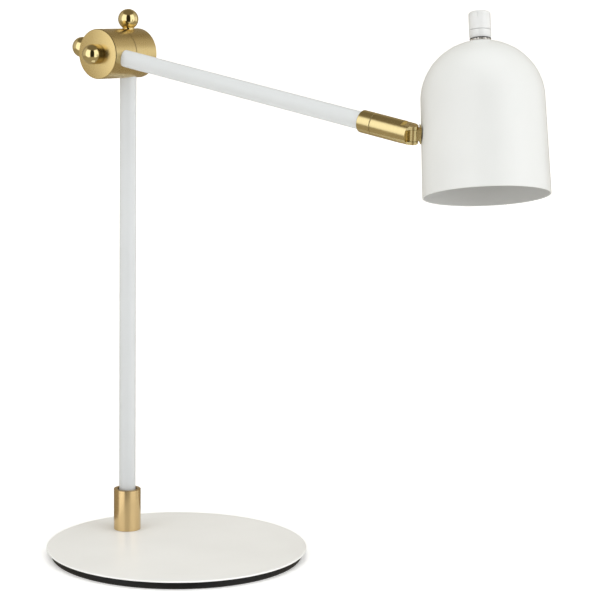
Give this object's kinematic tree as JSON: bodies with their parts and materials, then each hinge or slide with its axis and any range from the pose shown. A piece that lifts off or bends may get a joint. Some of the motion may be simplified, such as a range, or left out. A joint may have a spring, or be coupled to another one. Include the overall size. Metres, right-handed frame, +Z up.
{
  "type": "swing arm desk lamp",
  "caption": "Desk lamp with a round weighted base, a turning post, a tilting arm held by a brass clamp drum, and a domed metal shade on a swivel with a rotary switch on its crown.",
  "frame": {"origin": "centre of the round base, on the underside that rests on the desk", "axes": "+Z up; +X the way the arm reaches out over the base; +Y along the clamp drum to its back"},
  "size_m": [0.506, 0.25, 0.5264],
  "materials": {
    "white_base": "white satin powder coat",
    "weight_black": "black painted, slightly rough",
    "pad_black": "black foot pad",
    "grommet": "black",
    "brass": "satin brushed, lacquered",
    "brass_polished": "polished",
    "brass_plain": "turned",
    "bush": "black nylon",
    "steel": "zinc plated",
    "white_tube": "white satin powder coat",
    "friction": "brown fibre",
    "lead": "black sheath",
    "white_shade": "white satin powder coat, in and out",
    "white_plastic": "white moulded",
    "ceramic": "ivory heat-proof moulding",
    "nickel": "nickel plated",
    "gasket": "black"
  },
  "bodies": {
    "base": {"base_cover": "white_base", "base_weight": "weight_black", "base_pad": "pad_black", "cord_grommet": "grommet", "base_collar": "brass", "collar_bush": "bush", "collar_set_screw": "steel", "collar_screws": "steel", "base_lead": "lead"},
    "post": {"post_tube": "white_tube", "post_foot": "steel", "post_plug": "steel", "post_finial": "brass_polished", "rear_drum": "brass", "friction_washer": "friction", "post_lead": "lead"},
    "clamp": {"clamp_knob": "brass_polished", "pivot_bolt": "steel", "clamp_spring_washer": "steel"},
    "arm": {"front_drum": "brass", "arm_tube": "white_tube", "arm_plug": "steel", "arm_finial": "brass_polished", "swivel_collar": "brass", "arm_lead": "lead"},
    "barrel": {"swivel_barrel": "brass", "swivel_stud": "steel", "swivel_nut": "steel", "pivot_screws": "brass_plain", "barrel_lead": "lead"},
    "knuckle": {"knuckle": "brass_plain", "knuckle_washer": "gasket", "stud_washer": "steel", "stud_nut": "steel", "knuckle_lead": "lead"},
    "shade": {"shade_shell": "white_shade", "holder_cap": "white_plastic", "crown_ring_nut": "nickel", "crown_gasket": "gasket", "switch_neck": "white_plastic", "switch_body": "ceramic", "holder_body": "white_plastic", "shell_insulator": "ceramic", "screw_shell": "nickel", "centre_contact": "brass_plain", "holder_screws": "steel", "shade_lead": "lead"},
    "knob": {"switch_knob": "white_plastic", "knob_shaft": "steel"}
  },
  "joints": [
    {"name": "post_swing", "type": "hinge", "parent": "base", "child": "post", "pos_m": [-0.076, 0.01475, 0], "axis": [0, 0, 1], "range_deg": [-165, 165]},
    {"name": "arm_tilt", "type": "hinge", "parent": "post", "child": "arm", "pos_m": [-0.076, 0, 0.4776], "axis": [0, 1, 0], "range_deg": [-60, 40]},
    {"name": "clamp_turn", "type": "hinge", "parent": "post", "child": "clamp", "pos_m": [-0.076, 0, 0.4776], "axis": [0, 1, 0], "range_deg": [-180, 180]},
    {"name": "barrel_roll", "type": "hinge", "parent": "arm", "child": "barrel", "pos_m": [0.23073, -0.01475, 0.42682], "axis": [0.9866, 0, -0.1633], "range_deg": [-170, 170]},
    {"name": "shade_pan", "type": "hinge", "parent": "barrel", "child": "knuckle", "pos_m": [0.26979, -0.01475, 0.42035], "axis": [0.1595, -0.2164, 0.9632], "range_deg": [-99, 17]},
    {"name": "shade_tilt", "type": "hinge", "parent": "knuckle", "child": "shade", "pos_m": [0.2756, -0.00969, 0.42053], "axis": [0.7535, 0.6571, 0.0229], "range_deg": [-58, 115]},
    {"name": "switch_turn", "type": "hinge", "parent": "shade", "child": "knob", "pos_m": [0.2993, 0.04248, 0.50877], "axis": [-0.1896, 0.1838, 0.9645], "continuous": true}
  ]
}
